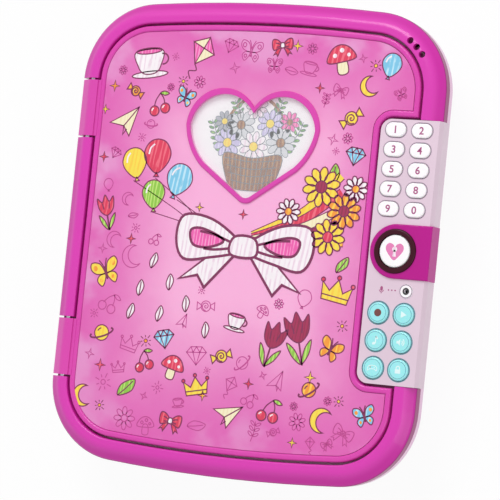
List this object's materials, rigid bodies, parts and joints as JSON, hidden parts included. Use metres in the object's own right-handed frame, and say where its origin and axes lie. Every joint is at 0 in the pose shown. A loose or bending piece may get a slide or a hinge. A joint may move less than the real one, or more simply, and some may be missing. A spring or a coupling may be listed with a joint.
{
  "type": "electronic secret diary",
  "caption": "Book-shaped electronic diary with a hinged printed cover, heart window, code keypad, unlock button and motor latch over a notepad tray.",
  "frame": {"origin": "under the middle of the cover outline, on the flat back", "axes": "+X towards the keypad, +Y up the book, +Z out of the cover"},
  "size_m": [0.1977, 0.234, 0.0422],
  "materials": {
    "magenta_gloss": "glossy moulded plastic",
    "magenta_lid": "glossy moulded plastic",
    "lilac_shell": "satin moulded plastic",
    "lilac_silver": "fine metallic paint on plastic",
    "printed_panel": "back-printed translucent plastic",
    "white_key": "smooth",
    "turquoise_key": "satin translucent",
    "plum_ring": "glossy",
    "clear_lens": "clear moulded plastic",
    "printed_card": "printed card",
    "pale_tray": "fine-textured moulded plastic",
    "rubber_mat": "silicone rubber",
    "board_green": "solder mask",
    "black_plastic": "moulded",
    "steel": "zinc plated",
    "white_plastic": "moulded acetal",
    "paper": "uncoated paper",
    "cell_jacket": "plain battery jacket",
    "wire_red": "insulated wire",
    "brass": "plated"
  },
  "bodies": {
    "case": {"back_shell": "lilac_shell", "upper_casing": "magenta_gloss", "inner_tray": "pale_tray", "keypad_faceplate": "lilac_silver", "latch_tab": "magenta_gloss", "button_bezel": "plum_ring", "mic_bezel": "white_key", "number_key_mat": "rubber_mat", "function_key_mat": "rubber_mat", "circuit_board": "board_green", "board_parts": "black_plastic", "microphone": "steel", "speaker": "black_plastic", "speaker_clamp": "black_plastic", "battery_contacts": "brass", "hinge_pins": "steel", "latch_housing": "white_plastic", "latch_motor": "steel", "latch_screws": "steel", "board_screws": "steel", "case_screws": "steel", "battery_wires": "wire_red", "speaker_wires": "wire_red", "motor_wires": "wire_red", "notepad_board": "printed_card", "notepad_pages": "paper", "notepad_cover": "printed_card", "notepad_binding": "magenta_lid", "battery_cell_1": "cell_jacket", "battery_cell_2": "cell_jacket", "battery_cell_3": "cell_jacket"},
    "lid": {"lid_frame": "magenta_lid", "cover_panel": "printed_panel", "heart_bezel": "magenta_gloss", "heart_lens": "clear_lens", "picture_card": "printed_card", "lid_liner": "pale_tray", "liner_screws": "steel", "lid_catch": "steel"},
    "unlock_button": {"unlock_button": "white_key"},
    "latch_slide": {"latch_slide": "white_plastic"},
    "latch_gear": {"latch_gear": "brass"},
    "battery_door": {"battery_door": "lilac_shell", "battery_door_screw": "steel"},
    "key_1": {"key_1": "white_key"},
    "key_2": {"key_2": "white_key"},
    "key_3": {"key_3": "white_key"},
    "key_4": {"key_4": "white_key"},
    "key_5": {"key_5": "white_key"},
    "key_6": {"key_6": "white_key"},
    "key_7": {"key_7": "white_key"},
    "key_8": {"key_8": "white_key"},
    "key_9": {"key_9": "white_key"},
    "key_0": {"key_0": "white_key"},
    "record_key": {"record_key": "turquoise_key"},
    "play_key": {"play_key": "turquoise_key"},
    "music_key": {"music_key": "turquoise_key"},
    "voice_key": {"voice_key": "turquoise_key"},
    "game_key": {"game_key": "turquoise_key"},
    "lock_key": {"lock_key": "turquoise_key"}
  },
  "joints": [
    {"name": "lid_hinge", "type": "hinge", "parent": "case", "child": "lid", "pos_m": [-0.0915, 0, 0.037], "axis": [0, -1, 0], "range_deg": [0, 155]},
    {"name": "unlock_press", "type": "slide", "parent": "case", "child": "unlock_button", "axis": [0, 0, -1], "range_m": [0, 0.002], "stiffness_N_per_m": 300, "springref_m": -0.002},
    {"name": "latch_travel", "type": "slide", "parent": "case", "child": "latch_slide", "axis": [-1, 0, 0], "range_m": [0, 0.0032], "stiffness_N_per_m": 100, "springref_m": -0.002},
    {"name": "latch_gear_spin", "type": "hinge", "parent": "case", "child": "latch_gear", "pos_m": [0.078, -0.00795, 0.025], "axis": [0, 0, 1], "range_deg": [0, 46]},
    {"name": "battery_door_out", "type": "slide", "parent": "case", "child": "battery_door", "axis": [0, 0, -1], "range_m": [0, 0.012]},
    {"name": "key_1_press", "type": "slide", "parent": "case", "child": "key_1", "axis": [0, 0, -1], "range_m": [0, 0.0012], "stiffness_N_per_m": 250, "springref_m": -0.001},
    {"name": "key_2_press", "type": "slide", "parent": "case", "child": "key_2", "axis": [0, 0, -1], "range_m": [0, 0.0012], "stiffness_N_per_m": 250, "springref_m": -0.001},
    {"name": "key_3_press", "type": "slide", "parent": "case", "child": "key_3", "axis": [0, 0, -1], "range_m": [0, 0.0012], "stiffness_N_per_m": 250, "springref_m": -0.001},
    {"name": "key_4_press", "type": "slide", "parent": "case", "child": "key_4", "axis": [0, 0, -1], "range_m": [0, 0.0012], "stiffness_N_per_m": 250, "springref_m": -0.001},
    {"name": "key_5_press", "type": "slide", "parent": "case", "child": "key_5", "axis": [0, 0, -1], "range_m": [0, 0.0012], "stiffness_N_per_m": 250, "springref_m": -0.001},
    {"name": "key_6_press", "type": "slide", "parent": "case", "child": "key_6", "axis": [0, 0, -1], "range_m": [0, 0.0012], "stiffness_N_per_m": 250, "springref_m": -0.001},
    {"name": "key_7_press", "type": "slide", "parent": "case", "child": "key_7", "axis": [0, 0, -1], "range_m": [0, 0.0012], "stiffness_N_per_m": 250, "springref_m": -0.001},
    {"name": "key_8_press", "type": "slide", "parent": "case", "child": "key_8", "axis": [0, 0, -1], "range_m": [0, 0.0012], "stiffness_N_per_m": 250, "springref_m": -0.001},
    {"name": "key_9_press", "type": "slide", "parent": "case", "child": "key_9", "axis": [0, 0, -1], "range_m": [0, 0.0012], "stiffness_N_per_m": 250, "springref_m": -0.001},
    {"name": "key_0_press", "type": "slide", "parent": "case", "child": "key_0", "axis": [0, 0, -1], "range_m": [0, 0.0012], "stiffness_N_per_m": 250, "springref_m": -0.001},
    {"name": "record_key_press", "type": "slide", "parent": "case", "child": "record_key", "axis": [0, 0, -1], "range_m": [0, 0.0012], "stiffness_N_per_m": 250, "springref_m": -0.001},
    {"name": "play_key_press", "type": "slide", "parent": "case", "child": "play_key", "axis": [0, 0, -1], "range_m": [0, 0.0012], "stiffness_N_per_m": 250, "springref_m": -0.001},
    {"name": "music_key_press", "type": "slide", "parent": "case", "child": "music_key", "axis": [0, 0, -1], "range_m": [0, 0.0012], "stiffness_N_per_m": 250, "springref_m": -0.001},
    {"name": "voice_key_press", "type": "slide", "parent": "case", "child": "voice_key", "axis": [0, 0, -1], "range_m": [0, 0.0012], "stiffness_N_per_m": 250, "springref_m": -0.001},
    {"name": "game_key_press", "type": "slide", "parent": "case", "child": "game_key", "axis": [0, 0, -1], "range_m": [0, 0.0012], "stiffness_N_per_m": 250, "springref_m": -0.001},
    {"name": "lock_key_press", "type": "slide", "parent": "case", "child": "lock_key", "axis": [0, 0, -1], "range_m": [0, 0.0012], "stiffness_N_per_m": 250, "springref_m": -0.001}
  ],
  "couplings": [
    {"joint": "latch_gear_spin", "follows": "latch_travel", "rad_per_m": 250}
  ]
}
